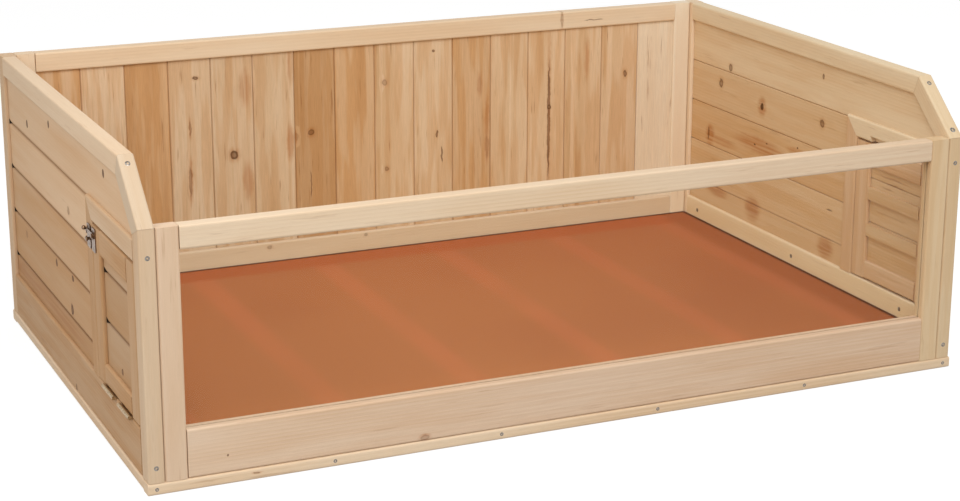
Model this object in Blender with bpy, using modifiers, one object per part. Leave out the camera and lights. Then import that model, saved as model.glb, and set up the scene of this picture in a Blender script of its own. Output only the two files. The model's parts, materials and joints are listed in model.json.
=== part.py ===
"""Open-topped wooden pen for small animals, with a clear front and two drop-down ramp doors.

Metres, +Z up. The origin is on the ground under the middle of the pen. The clear front faces -Y,
and each side wall has a door that is hinged along its bottom edge and drops outward as a ramp.
"""

import math

import bmesh
import bpy
from mathutils import Matrix, Vector

# Overall sizes
PEN_WIDTH = 1.220
PEN_DEPTH = 0.785
BACK_HEIGHT = 0.426
FRONT_HEIGHT = 0.350
SLOPE_RUN = 0.085

# Frame timber
FRAME_THICKNESS = 0.022
MEMBER_WIDTH = 0.030
BOTTOM_RAIL_HEIGHT = 0.066
FRONT_TOP_RAIL_HEIGHT = 0.031
EDGE_RADIUS = 0.003
EDGE_SEGMENTS = 3
JOINT_GAP = 0.0004
SEAT_GAP = 0.0003

# Tongue-and-groove boards and the grooves that hold them
BOARD_THICKNESS = 0.011
BOARD_PITCH = 0.0698
VEE_WIDTH = 0.003
VEE_DEPTH = 0.002
GROOVE_DEPTH = 0.008
GROOVE_CLEARANCE = 0.0006
GROOVE_SIDE_CLEARANCE = 0.0003

# Clear front sheet
WINDOW_THICKNESS = 0.003

# Base frame and floor
BASE_RIM_HEIGHT = 0.0155
BASE_RIM_PROUD = 0.001
JOIST_COUNT = 4
JOIST_WIDTH = 0.020
JOIST_HEIGHT = 0.046
FLOOR_THICKNESS = 0.004
FLOOR_CLEARANCE = 0.0015

# Doorway and ramp door
DOORWAY_WIDTH = 0.206
DOORWAY_HEIGHT = 0.2195
DOOR_SIDE_GAP = 0.0015
DOOR_TOP_GAP = 0.003
DOOR_STILE_WIDTH = 0.035
DOOR_TOP_RAIL_HEIGHT = 0.035
DOOR_BOTTOM_RAIL_HEIGHT = 0.028
DOOR_FIRST_JOINT_DROP = 0.054
TREAD_HEIGHT = 0.019
TREAD_PITCH = 0.058
LOWER_TREAD_RISE = 0.078
TREAD_COUNT = 2
LINTEL_REBATE_HEIGHT = 0.009
LINTEL_REBATE_DEPTH = 0.010

# Butt hinges, two to a door
HINGE_LENGTH = 0.054
HINGE_END_INSET = 0.0345
LEAF_THICKNESS = 0.001
LEAF_DEPTH = 0.016
LEAF_GAP = 0.0004
KNUCKLE_RADIUS = 0.003
KNUCKLE_GAP = 0.0003
PIN_RADIUS = 0.0012
PIN_CLEARANCE = 0.0003
TAB_BORE_WALL = 0.0003

# Hook latch
LATCH_PLATE_WIDTH = 0.018
LATCH_PLATE_HEIGHT = 0.033
LATCH_PLATE_THICKNESS = 0.0012
LATCH_CORNER_RADIUS = 0.003
LATCH_EDGE_INSET = 0.0025
LATCH_TOP_DROP = 0.003
PIVOT_RISE = 0.006
STUD_DROP = 0.004
HOOK_THICKNESS = 0.0016
HOOK_LIFT_DEG = 20.0
HOOK_BOSS_RADIUS = 0.0048
HOOK_BOSS_OPENING_DEG = 60
HOOK_OUTER_RADIUS = 0.0052
HOOK_LIP_LENGTH = 0.0024
HOOK_MOUTH_FLARE = 0.0014
HOOK_TAIL_LENGTH = 0.005
HOOK_TAIL_WIDTH = 0.003
KNOB_RADIUS = 0.0030
STUD_NECK_RADIUS = 0.0022
STUD_HEAD_RADIUS = 0.0040
STUD_HEAD_HEIGHT = 0.0024
HEAD_FLAT_SHARE = 0.6
RIVET_RADIUS = 0.0018
RIVET_HEAD_RADIUS = 0.0034
RIVET_HEAD_HEIGHT = 0.0012
LATCH_CLEARANCE = 0.0004

# Facets of round pieces
ROUND_STEPS = 20
ARC_STEPS = 6
SMOOTH_ANGLE_DEG = 40.0
WELD_DISTANCE = 1e-6

# Places worked out from the sizes above
FRONT = -PEN_DEPTH / 2
BACK = PEN_DEPTH / 2
HALF_WIDTH = PEN_WIDTH / 2
INNER_HALF_WIDTH = HALF_WIDTH - FRAME_THICKNESS
WALL_BOTTOM = BASE_RIM_HEIGHT + SEAT_GAP
RAIL_TOP = WALL_BOTTOM + BOTTOM_RAIL_HEIGHT
TOP_RAIL_BOTTOM = BACK_HEIGHT - MEMBER_WIDTH
POST_BACK = FRONT + MEMBER_WIDTH
REAR_POST_FRONT = BACK - MEMBER_WIDTH
DOORWAY_BACK = POST_BACK + DOORWAY_WIDTH
JAMB_BACK = DOORWAY_BACK + MEMBER_WIDTH
LINTEL_BOTTOM = RAIL_TOP + DOORWAY_HEIGHT
LINTEL_TOP = LINTEL_BOTTOM + MEMBER_WIDTH
HINGE_GAP = 2 * SEAT_GAP + 2 * LEAF_THICKNESS + LEAF_GAP
HINGE_AXIS_Z = RAIL_TOP + HINGE_GAP / 2
HINGE_AXIS_OUT = HALF_WIDTH + KNUCKLE_RADIUS + SEAT_GAP
DOOR_BOTTOM = RAIL_TOP + HINGE_GAP
DOOR_TOP = LINTEL_BOTTOM - DOOR_TOP_GAP
DOOR_FRONT = POST_BACK + DOOR_SIDE_GAP
DOOR_BACK = DOORWAY_BACK - DOOR_SIDE_GAP


def clear_scene():
    for obj in list(bpy.data.objects):
        bpy.data.objects.remove(obj, do_unlink=True)


def make_collection(name):
    collection = bpy.data.collections.new(name)
    bpy.context.scene.collection.children.link(collection)
    return collection


def make_material(name, colour, roughness, metallic=0.0, transmission=0.0):
    material = bpy.data.materials.new(name)
    material.use_nodes = True
    shader = material.node_tree.nodes["Principled BSDF"]
    shader.inputs["Base Color"].default_value = (*colour, 1.0)
    shader.inputs["Roughness"].default_value = roughness
    shader.inputs["Metallic"].default_value = metallic
    shader.inputs["Transmission Weight"].default_value = transmission
    material.diffuse_color = (*colour, 1.0)
    return material


def spread(plane, first, second, depth):
    """A point given along a plane's two directions and its thickness, in world order."""
    if plane == "XY":
        return Vector((first, second, depth))
    if plane == "XZ":
        return Vector((first, depth, second))
    return Vector((depth, first, second))


def rectangle(first_low, first_high, second_low, second_high, along="first"):
    """Corners of a straight bar: two along its outer edge, then two back along its inner edge."""
    low_low = (first_low, second_low)
    high_low = (first_high, second_low)
    high_high = (first_high, second_high)
    low_high = (first_low, second_high)
    if along == "first":
        return [low_low, high_low, high_high, low_high]
    return [low_low, low_high, high_high, high_low]


def grown(points, distance):
    """The outline with every edge moved outward. Points run anticlockwise."""
    moved = []
    count = len(points)
    for index in range(count):
        before = Vector(points[index - 1])
        here = Vector(points[index])
        after = Vector(points[(index + 1) % count])
        moved.append(offset_corner(before, here, after, distance))
    return moved


def offset_corner(before, here, after, distance):
    """Where two edges meet once both are moved to their right by the distance."""
    first = (Vector(here) - Vector(before)).normalized()
    second = (Vector(after) - Vector(here)).normalized()
    first_normal = Vector((first.y, -first.x))
    second_normal = Vector((second.y, -second.x))
    share = distance / (1.0 + first_normal.dot(second_normal))
    corner = Vector(here) + (first_normal + second_normal) * share
    return (corner.x, corner.y)


def arc(centre, radius, start_deg, end_deg, steps=ARC_STEPS):
    points = []
    for step in range(steps + 1):
        angle = math.radians(start_deg + (end_deg - start_deg) * step / steps)
        points.append((centre[0] + radius * math.cos(angle), centre[1] + radius * math.sin(angle)))
    return points


def rounded_rectangle(first_low, first_high, second_low, second_high, radius):
    points = arc((first_high - radius, second_low + radius), radius, -90, 0)
    points += arc((first_high - radius, second_high - radius), radius, 0, 90)
    points += arc((first_low + radius, second_high - radius), radius, 90, 180)
    points += arc((first_low + radius, second_low + radius), radius, 180, 270)
    return points


def add_object(name, mesh, collection, material=None, parent=None):
    """Puts the mesh's own middle at the object's origin, and the object where the mesh was."""
    corners = [vertex.co.copy() for vertex in mesh.vertices]
    low = Vector([min(corner[axis] for corner in corners) for axis in range(3)])
    high = Vector([max(corner[axis] for corner in corners) for axis in range(3)])
    middle = (low + high) / 2
    mesh.transform(Matrix.Translation(-middle))
    mesh.name = name
    obj = bpy.data.objects.new(name, mesh)
    collection.objects.link(obj)
    obj.location = middle
    if parent is not None:
        obj.parent = parent
        obj.location = middle - parent.location
    if material is not None:
        mesh.materials.clear()
        mesh.materials.append(material)
    return obj


def settle():
    bpy.context.view_layer.update()
    return bpy.context.evaluated_depsgraph_get()


def mesh_from(bm):
    bmesh.ops.recalc_face_normals(bm, faces=bm.faces)
    if bm.calc_volume(signed=True) < 0.0:
        bmesh.ops.reverse_faces(bm, faces=bm.faces)
    mesh = bpy.data.meshes.new("piece")
    bm.to_mesh(mesh)
    bm.free()
    return mesh


def tidied(mesh):
    """The mesh with doubled points welded and its faces turned outward."""
    bm = bmesh.new()
    bm.from_mesh(mesh)
    bmesh.ops.remove_doubles(bm, verts=bm.verts, dist=WELD_DISTANCE)
    return mesh_from(bm)


def bar_mesh(plane, corners, low, high):
    """A box whose ends follow the corners, so that an end may be mitred. Long edges are marked."""
    bm = bmesh.new()
    bmesh.ops.create_cube(bm, size=2.0)
    weights = bm.edges.layers.float.new("bevel_weight_edge")
    for edge in bm.edges:
        edge[weights] = 1.0 if edge.verts[0].co.x * edge.verts[1].co.x < 0 else 0.0
    start_outer, end_outer, end_inner, start_inner = corners
    for vertex in bm.verts:
        outer = vertex.co.y < 0
        if vertex.co.x < 0:
            first, second = start_outer if outer else start_inner
        else:
            first, second = end_outer if outer else end_inner
        vertex.co = spread(plane, first, second, low if vertex.co.z < 0 else high)
    return mesh_from(bm)


def outline_mesh(outlines, thickness):
    """Flat outlines filled and given a thickness about their own plane. Inner ones are holes."""
    curve = bpy.data.curves.new("outline", "CURVE")
    curve.dimensions = "2D"
    curve.fill_mode = "BOTH"
    curve.extrude = thickness / 2
    for points in outlines:
        spline = curve.splines.new("POLY")
        spline.points.add(len(points) - 1)
        for spline_point, (first, second) in zip(spline.points, points):
            spline_point.co = (first, second, 0.0, 1.0)
        spline.use_cyclic_u = True
    holder = bpy.data.objects.new("outline", curve)
    bpy.context.scene.collection.objects.link(holder)
    mesh = bpy.data.meshes.new_from_object(holder.evaluated_get(settle()))
    bpy.data.objects.remove(holder)
    return tidied(mesh)


def lay(mesh, plane, depth):
    """Stands a flat mesh up in its plane, with its mid-thickness at the depth."""
    for vertex in mesh.vertices:
        vertex.co = spread(plane, vertex.co.x, vertex.co.y, depth + vertex.co.z)
    return tidied(mesh)


def prism(plane, outlines, low, high):
    return lay(outline_mesh(outlines, high - low), plane, (low + high) / 2)


def turned(profile, base, direction):
    """A profile of (radius, height) from its top down, turned round an axis along +X or -X."""
    mesh = bpy.data.meshes.new("turned")
    points = [(radius, 0.0, height) for radius, height in profile]
    mesh.from_pydata(points, [(i, i + 1) for i in range(len(points) - 1)], [])
    holder = bpy.data.objects.new("turned", mesh)
    bpy.context.scene.collection.objects.link(holder)
    screw = holder.modifiers.new("turn", "SCREW")
    screw.steps = ROUND_STEPS
    screw.render_steps = ROUND_STEPS
    screw.use_merge_vertices = True
    screw.merge_threshold = WELD_DISTANCE
    solid = bpy.data.meshes.new_from_object(holder.evaluated_get(settle()))
    bpy.data.objects.remove(holder)
    turn = Matrix.Rotation(math.radians(90.0 * direction), 4, "Y")
    solid.transform(Matrix.Translation(base) @ turn)
    return tidied(solid)


def rod_mesh(radius, length, middle):
    """A round bar along Y."""
    bm = bmesh.new()
    turn = Matrix.Translation(middle) @ Matrix.Rotation(math.radians(90.0), 4, "X")
    bmesh.ops.create_cone(
        bm, cap_ends=True, segments=ROUND_STEPS, radius1=radius, radius2=radius, depth=length, matrix=turn
    )
    return mesh_from(bm)


def ball_mesh(radius, middle):
    bm = bmesh.new()
    bmesh.ops.create_uvsphere(
        bm, u_segments=ROUND_STEPS, v_segments=ROUND_STEPS // 2, radius=radius,
        matrix=Matrix.Translation(middle),
    )
    return mesh_from(bm)


def combined(first, others, operation):
    """One mesh from a Boolean of several, with the helper objects removed."""
    scene = bpy.context.scene.collection
    holder = bpy.data.objects.new("combined", first)
    scene.objects.link(holder)
    helpers = []
    for other in others:
        helper = bpy.data.objects.new("operand", other)
        scene.objects.link(helper)
        helpers.append(helper)
        modifier = holder.modifiers.new("join", "BOOLEAN")
        modifier.operation = operation
        modifier.object = helper
    mesh = bpy.data.meshes.new_from_object(holder.evaluated_get(settle()))
    for helper in [holder, *helpers]:
        bpy.data.objects.remove(helper)
    return mesh


def round_edges(obj):
    bevel = obj.modifiers.new("rounded_edges", "BEVEL")
    bevel.limit_method = "WEIGHT"
    bevel.width = EDGE_RADIUS
    bevel.segments = EDGE_SEGMENTS


def cut(obj, cutter):
    modifier = obj.modifiers.new("cut_" + cutter.name, "BOOLEAN")
    modifier.operation = "DIFFERENCE"
    modifier.object = cutter


def hang_on(child, parent):
    """Parents an object without moving it."""
    child.parent = parent
    child.location -= parent.location


def shade_round(obj):
    obj.data.shade_smooth()
    obj.data.set_sharp_from_angle(angle=math.radians(SMOOTH_ANGLE_DEG))


class Pen:
    """The collections and materials that every piece is added to."""

    def __init__(self):
        self.parts = make_collection("small_animal_pen")
        self.cutters = make_collection("cutters")
        self.fir = make_material("fir", (0.76, 0.60, 0.42), 0.60)
        self.boards = make_material("fir_boards", (0.66, 0.46, 0.28), 0.60)
        self.floor = make_material("floor_sheet", (0.42, 0.16, 0.07), 0.42)
        self.clear = make_material("clear_sheet", (0.98, 0.98, 0.98), 0.03, transmission=1.0)
        self.zinc = make_material("zinc_plate", (0.60, 0.60, 0.60), 0.32, metallic=1.0)
        self.brass = make_material("brassed_steel", (0.62, 0.48, 0.26), 0.35, metallic=1.0)

    def bar(self, name, plane, corners, low, high, parent=None):
        obj = add_object(name, bar_mesh(plane, corners, low, high), self.parts, self.fir, parent)
        round_edges(obj)
        return obj

    def solid(self, name, mesh, material, parent=None):
        return add_object(name, mesh, self.parts, material, parent)

    def cutter(self, name, mesh):
        obj = add_object(name, mesh, self.cutters)
        obj.hide_render = True
        obj.display_type = "WIRE"
        return obj

    def axis(self, name, place):
        empty = bpy.data.objects.new(name, None)
        self.parts.objects.link(empty)
        empty.location = place
        return empty


def boarded_mesh(low, high, joints, length):
    """Boards edge to edge, stacked along X and run along Z, with a vee at each joint on both faces."""
    half = BOARD_THICKNESS / 2
    face = [(low, -half)]
    for joint in joints:
        face += [(joint - VEE_WIDTH / 2, -half), (joint, VEE_DEPTH - half), (joint + VEE_WIDTH / 2, -half)]
    face.append((high, -half))
    outline = face + [(place, -depth) for place, depth in reversed(face)]
    return outline_mesh([outline], length)


def groove_pocket(pen, name, plane, outline, middle, thickness):
    """Cutter that leaves the groove round a panel in every member that borders it."""
    half = thickness / 2 + GROOVE_SIDE_CLEARANCE
    return pen.cutter(name, prism(plane, [grown(outline, GROOVE_DEPTH)], middle - half, middle + half))


def in_groove(outline):
    return grown(outline, GROOVE_DEPTH - GROOVE_CLEARANCE)


def build_base(pen):
    """Ladder frame on the ground, and the faced floor sheet on its joists."""
    outer = HALF_WIDTH + BASE_RIM_PROUD
    front_outer = FRONT - BASE_RIM_PROUD
    back_outer = BACK + BASE_RIM_PROUD
    front_inner = FRONT + FRAME_THICKNESS
    back_inner = BACK - FRAME_THICKNESS
    for name, low, high in (
        ("base_front_rim", front_outer, front_inner),
        ("base_back_rim", back_inner, back_outer),
    ):
        pen.bar(name, "XY", rectangle(-outer, outer, low, high), 0.0, BASE_RIM_HEIGHT)
    side_front = front_inner + JOINT_GAP
    side_back = back_inner - JOINT_GAP
    for name, low, high in (
        ("base_left_rim", -outer, -INNER_HALF_WIDTH),
        ("base_right_rim", INNER_HALF_WIDTH, outer),
    ):
        pen.bar(name, "XY", rectangle(low, high, side_front, side_back, "second"), 0.0, BASE_RIM_HEIGHT)
    bay = (PEN_WIDTH - FRAME_THICKNESS) / (JOIST_COUNT + 1)
    for number in range(1, JOIST_COUNT + 1):
        middle = FRAME_THICKNESS / 2 - HALF_WIDTH + number * bay
        low = middle - JOIST_WIDTH / 2
        high = middle + JOIST_WIDTH / 2
        joist = rectangle(low, high, side_front, side_back, "second")
        pen.bar(f"floor_joist_{number}", "XY", joist, 0.0, JOIST_HEIGHT)
    floor_half = INNER_HALF_WIDTH - FLOOR_CLEARANCE
    floor_low = JOIST_HEIGHT + SEAT_GAP
    sheet = rectangle(-floor_half, floor_half, front_inner + FLOOR_CLEARANCE, back_inner - FLOOR_CLEARANCE)
    pen.solid("floor_sheet", bar_mesh("XY", sheet, floor_low, floor_low + FLOOR_THICKNESS), pen.floor)


def build_framed_panel(pen, prefix, low, high, top, top_rail_height):
    """Two stiles and two rails between the side walls. Returns the members and the clear outline."""
    outer = INNER_HALF_WIDTH - JOINT_GAP
    inner = outer - MEMBER_WIDTH
    rail_end = inner - JOINT_GAP
    rail_bottom = top - top_rail_height
    pieces = (
        ("left_stile", rectangle(-outer, -inner, WALL_BOTTOM, top, "second")),
        ("right_stile", rectangle(inner, outer, WALL_BOTTOM, top, "second")),
        ("top_rail", rectangle(-rail_end, rail_end, rail_bottom, top)),
        ("bottom_rail", rectangle(-rail_end, rail_end, WALL_BOTTOM, RAIL_TOP)),
    )
    members = [pen.bar(f"{prefix}_{name}", "XZ", corners, low, high) for name, corners in pieces]
    return members, rectangle(-inner, inner, RAIL_TOP, rail_bottom)


def build_front(pen):
    """Low front frame with a clear sheet in its grooves."""
    low = FRONT
    high = FRONT + FRAME_THICKNESS
    middle = (low + high) / 2
    members, outline = build_framed_panel(pen, "front", low, high, FRONT_HEIGHT, FRONT_TOP_RAIL_HEIGHT)
    pocket = groove_pocket(pen, "window_groove", "XZ", outline, middle, WINDOW_THICKNESS)
    for member in members:
        cut(member, pocket)
    half = WINDOW_THICKNESS / 2
    pen.solid("window_sheet", bar_mesh("XZ", in_groove(outline), middle - half, middle + half), pen.clear)


def build_back(pen):
    """Back frame filled with upright tongue-and-groove boards."""
    low = BACK - FRAME_THICKNESS
    high = BACK
    middle = (low + high) / 2
    members, outline = build_framed_panel(pen, "back", low, high, BACK_HEIGHT, MEMBER_WIDTH)
    pocket = groove_pocket(pen, "back_groove", "XZ", outline, middle, BOARD_THICKNESS)
    for member in members:
        cut(member, pocket)
    (left, bottom), _, (right, top), _ = in_groove(outline)
    joints_each_side = math.ceil((right - GROOVE_DEPTH) / BOARD_PITCH) - 1
    joints = [number * BOARD_PITCH for number in range(-joints_each_side, joints_each_side + 1)]
    boards = boarded_mesh(left, right, joints, top - bottom)
    for vertex in boards.vertices:
        across, depth, along = vertex.co
        vertex.co = spread("XZ", across, along + (top + bottom) / 2, middle + depth)
    pen.solid("back_boards", boards, pen.boards)


def side_boards(outline, joints, middle):
    """Level boards in a side wall or door, trimmed to the outline that sits in the grooves."""
    trim = in_groove(outline)
    trimmed = len(outline) > 4
    spare = BOARD_THICKNESS if trimmed else 0.0
    firsts = [point[0] for point in trim]
    seconds = [point[1] for point in trim]
    length = max(firsts) - min(firsts) + 2 * spare
    centre = (max(firsts) + min(firsts)) / 2
    boards = boarded_mesh(min(seconds) - spare, max(seconds) + spare, joints, length)
    for vertex in boards.vertices:
        up, depth, along = vertex.co
        vertex.co = spread("YZ", centre + along, up, middle + depth)
    boards = tidied(boards)
    if not trimmed:
        return boards
    window = prism("YZ", [trim], middle - BOARD_THICKNESS, middle + BOARD_THICKNESS)
    return tidied(combined(boards, [window], "INTERSECT"))


def joints_below(top, bottom, first_drop):
    joints = []
    place = top - first_drop
    while place > bottom + VEE_WIDTH:
        joints.append(place)
        place -= BOARD_PITCH
    return sorted(joints)


def build_side(pen, prefix, side):
    """One side wall: post, slope and top rail mitred in a run, and a mitred doorway in front."""
    low, high = sorted((side * HALF_WIDTH, side * INNER_HALF_WIDTH))
    middle = (low + high) / 2
    foot = (FRONT, WALL_BOTTOM)
    knee = (FRONT, FRONT_HEIGHT)
    shoulder = (FRONT + SLOPE_RUN, BACK_HEIGHT)
    rear = (REAR_POST_FRONT - JOINT_GAP, BACK_HEIGHT)
    knee_inner = offset_corner(foot, knee, shoulder, MEMBER_WIDTH)
    shoulder_inner = offset_corner(knee, shoulder, rear, MEMBER_WIDTH)
    fall = (Vector(shoulder) - Vector(knee)).normalized() * JOINT_GAP
    step = Vector((JOINT_GAP, 0.0))

    front_post = pen.bar(
        f"{prefix}_front_post", "YZ", [foot, knee, knee_inner, (POST_BACK, WALL_BOTTOM)], low, high
    )
    slope_corners = [Vector(knee) + fall, shoulder, shoulder_inner, Vector(knee_inner) + fall]
    slope_rail = pen.bar(f"{prefix}_slope_rail", "YZ", slope_corners, low, high)
    top_corners = [Vector(shoulder) + step, rear, (rear[0], TOP_RAIL_BOTTOM), Vector(shoulder_inner) + step]
    top_rail = pen.bar(f"{prefix}_top_rail", "YZ", top_corners, low, high)
    rear_corners = rectangle(REAR_POST_FRONT, BACK, WALL_BOTTOM, BACK_HEIGHT, "second")
    rear_post = pen.bar(f"{prefix}_rear_post", "YZ", rear_corners, low, high)
    rail_corners = rectangle(POST_BACK + JOINT_GAP, REAR_POST_FRONT - JOINT_GAP, WALL_BOTTOM, RAIL_TOP)
    bottom_rail = pen.bar(f"{prefix}_bottom_rail", "YZ", rail_corners, low, high)
    jamb_foot = RAIL_TOP + JOINT_GAP
    jamb = pen.bar(
        f"{prefix}_door_jamb", "YZ",
        [
            (DOORWAY_BACK, jamb_foot), (DOORWAY_BACK, LINTEL_BOTTOM),
            (JAMB_BACK, LINTEL_TOP), (JAMB_BACK, jamb_foot),
        ],
        low, high,
    )
    lintel_front = POST_BACK + JOINT_GAP
    lintel = pen.bar(
        f"{prefix}_door_lintel", "YZ",
        [
            (lintel_front, LINTEL_BOTTOM), (DOORWAY_BACK - JOINT_GAP, LINTEL_BOTTOM),
            (JAMB_BACK - JOINT_GAP, LINTEL_TOP), (lintel_front, LINTEL_TOP),
        ],
        low, high,
    )
    rebate = rectangle(
        DOOR_FRONT + DOOR_STILE_WIDTH, DOOR_BACK - DOOR_STILE_WIDTH,
        LINTEL_BOTTOM - LINTEL_REBATE_HEIGHT, LINTEL_BOTTOM + LINTEL_REBATE_HEIGHT,
    )
    rebate_span = sorted(
        (side * (INNER_HALF_WIDTH - LINTEL_REBATE_DEPTH), side * (INNER_HALF_WIDTH + LINTEL_REBATE_DEPTH))
    )
    cut(lintel, pen.cutter(f"{prefix}_lintel_rebate", bar_mesh("YZ", rebate, *rebate_span)))

    outline = [
        (JAMB_BACK, RAIL_TOP), (REAR_POST_FRONT, RAIL_TOP), (REAR_POST_FRONT, TOP_RAIL_BOTTOM),
        shoulder_inner, knee_inner, (POST_BACK, LINTEL_TOP), (JAMB_BACK, LINTEL_TOP),
    ]
    pocket = groove_pocket(pen, f"{prefix}_groove", "YZ", outline, middle, BOARD_THICKNESS)
    for member in (front_post, slope_rail, top_rail, rear_post, bottom_rail, jamb, lintel):
        cut(member, pocket)
    joints = joints_below(TOP_RAIL_BOTTOM, RAIL_TOP, BOARD_PITCH)
    pen.solid(f"{prefix}_boards", side_boards(outline, joints, middle), pen.boards)


def build_door(pen, prefix, side):
    """Ramp door: a grooved frame round level boards, with two treads across the inside."""
    low, high = sorted((side * HALF_WIDTH, side * INNER_HALF_WIDTH))
    middle = (low + high) / 2
    door_middle = (DOOR_FRONT + DOOR_BACK) / 2
    axis = pen.axis(f"{prefix}_door_axis", (side * HINGE_AXIS_OUT, door_middle, HINGE_AXIS_Z))
    settle()
    clear_front = DOOR_FRONT + DOOR_STILE_WIDTH
    clear_back = DOOR_BACK - DOOR_STILE_WIDTH
    clear_bottom = DOOR_BOTTOM + DOOR_BOTTOM_RAIL_HEIGHT
    clear_top = DOOR_TOP - DOOR_TOP_RAIL_HEIGHT
    rail_ends = (clear_front + JOINT_GAP, clear_back - JOINT_GAP)
    pieces = (
        ("front_stile", rectangle(DOOR_FRONT, clear_front, DOOR_BOTTOM, DOOR_TOP, "second")),
        ("rear_stile", rectangle(clear_back, DOOR_BACK, DOOR_BOTTOM, DOOR_TOP, "second")),
        ("top_rail", rectangle(*rail_ends, clear_top, DOOR_TOP)),
        ("bottom_rail", rectangle(*rail_ends, DOOR_BOTTOM, clear_bottom)),
    )
    outline = rectangle(clear_front, clear_back, clear_bottom, clear_top)
    pocket = groove_pocket(pen, f"{prefix}_door_groove", "YZ", outline, middle, BOARD_THICKNESS)
    for name, corners in pieces:
        cut(pen.bar(f"{prefix}_door_{name}", "YZ", corners, low, high, axis), pocket)

    joints = joints_below(DOOR_TOP, clear_bottom, DOOR_FIRST_JOINT_DROP)
    boards = side_boards(outline, joints, middle)
    tread_face = side * INNER_HALF_WIDTH
    treads = []
    for number in range(TREAD_COUNT):
        tread_middle = DOOR_BOTTOM + LOWER_TREAD_RISE + number * TREAD_PITCH
        tread_ends = (clear_front + SEAT_GAP, clear_back - SEAT_GAP)
        corners = rectangle(*tread_ends, tread_middle - TREAD_HEIGHT / 2, tread_middle + TREAD_HEIGHT / 2)
        treads.append(bar_mesh("YZ", corners, *sorted((tread_face, middle))))
    pen.solid(f"{prefix}_door_boards", combined(boards, treads, "UNION"), pen.boards, axis)
    return axis


def build_hinges(pen, prefix, side, axis):
    """Two butt hinges in the gap under a door. The pin is fast in the lower leaf's end knuckles."""
    end_to_middle = HINGE_END_INSET + HINGE_LENGTH / 2
    knuckle = HINGE_LENGTH / 3
    face = side * HALF_WIDTH
    leaf_inner = side * (HALF_WIDTH - LEAF_DEPTH)
    axis_x = side * HINGE_AXIS_OUT
    bore_radius = PIN_RADIUS + PIN_CLEARANCE
    for name, centre in (("front", DOOR_FRONT + end_to_middle), ("rear", DOOR_BACK - end_to_middle)):
        start = centre - HINGE_LENGTH / 2
        lower = (RAIL_TOP + SEAT_GAP, RAIL_TOP + SEAT_GAP + LEAF_THICKNESS)
        upper = (DOOR_BOTTOM - SEAT_GAP - LEAF_THICKNESS, DOOR_BOTTOM - SEAT_GAP)
        plate_span = sorted((leaf_inner, face))
        tab_end = axis_x - side * (bore_radius + TAB_BORE_WALL)
        tab_span = sorted((face - side * LEAF_THICKNESS, tab_end))

        frame_leaf = bar_mesh("XY", rectangle(*plate_span, start, start + HINGE_LENGTH), *lower)
        pieces = [rod_mesh(PIN_RADIUS, HINGE_LENGTH, (axis_x, centre, HINGE_AXIS_Z))]
        for end in (-1, 1):
            middle = centre + end * knuckle
            half = (knuckle - KNUCKLE_GAP) / 2
            pieces.append(bar_mesh("XY", rectangle(*tab_span, middle - half, middle + half), *lower))
            pieces.append(rod_mesh(KNUCKLE_RADIUS, 2 * half, (axis_x, middle, HINGE_AXIS_Z)))
        leaf = combined(frame_leaf, pieces, "UNION")
        shade_round(pen.solid(f"{prefix}_{name}_hinge_frame_leaf", leaf, pen.brass))

        half = (knuckle - KNUCKLE_GAP) / 2
        door_leaf = bar_mesh("XY", rectangle(*plate_span, start, start + HINGE_LENGTH), *upper)
        pieces = [
            bar_mesh("XY", rectangle(*tab_span, centre - half, centre + half), *upper),
            rod_mesh(KNUCKLE_RADIUS, 2 * half, (axis_x, centre, HINGE_AXIS_Z)),
        ]
        leaf = combined(door_leaf, pieces, "UNION")
        bore = rod_mesh(bore_radius, HINGE_LENGTH, (axis_x, centre, HINGE_AXIS_Z))
        leaf = combined(leaf, [bore], "DIFFERENCE")
        shade_round(pen.solid(f"{prefix}_{name}_hinge_door_leaf", leaf, pen.brass, axis))


def hook_outline(reach):
    """Hook arm with its pivot at the origin and the stud it drops over at (reach, 0)."""
    mouth = STUD_NECK_RADIUS + LATCH_CLEARANCE
    tail_low = -HOOK_LIP_LENGTH
    opening = HOOK_BOSS_OPENING_DEG
    points = arc((0.0, 0.0), HOOK_BOSS_RADIUS, opening, 360 - opening, 2 * ARC_STEPS)
    points += [(reach - mouth - HOOK_MOUTH_FLARE - HOOK_OUTER_RADIUS / 2, tail_low)]
    points += [(reach - mouth - HOOK_MOUTH_FLARE, tail_low)]
    points += arc((reach, 0.0), mouth, 180, 0)
    points += [(reach + mouth, tail_low), (reach + HOOK_OUTER_RADIUS, tail_low)]
    points += [(reach + HOOK_OUTER_RADIUS, 0.0)]
    points += [(reach + HOOK_OUTER_RADIUS + HOOK_TAIL_LENGTH, HOOK_OUTER_RADIUS - HOOK_TAIL_WIDTH)]
    points += [(reach + HOOK_OUTER_RADIUS + HOOK_TAIL_LENGTH, HOOK_OUTER_RADIUS)]
    points += [(reach, HOOK_OUTER_RADIUS)]
    return points


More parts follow.
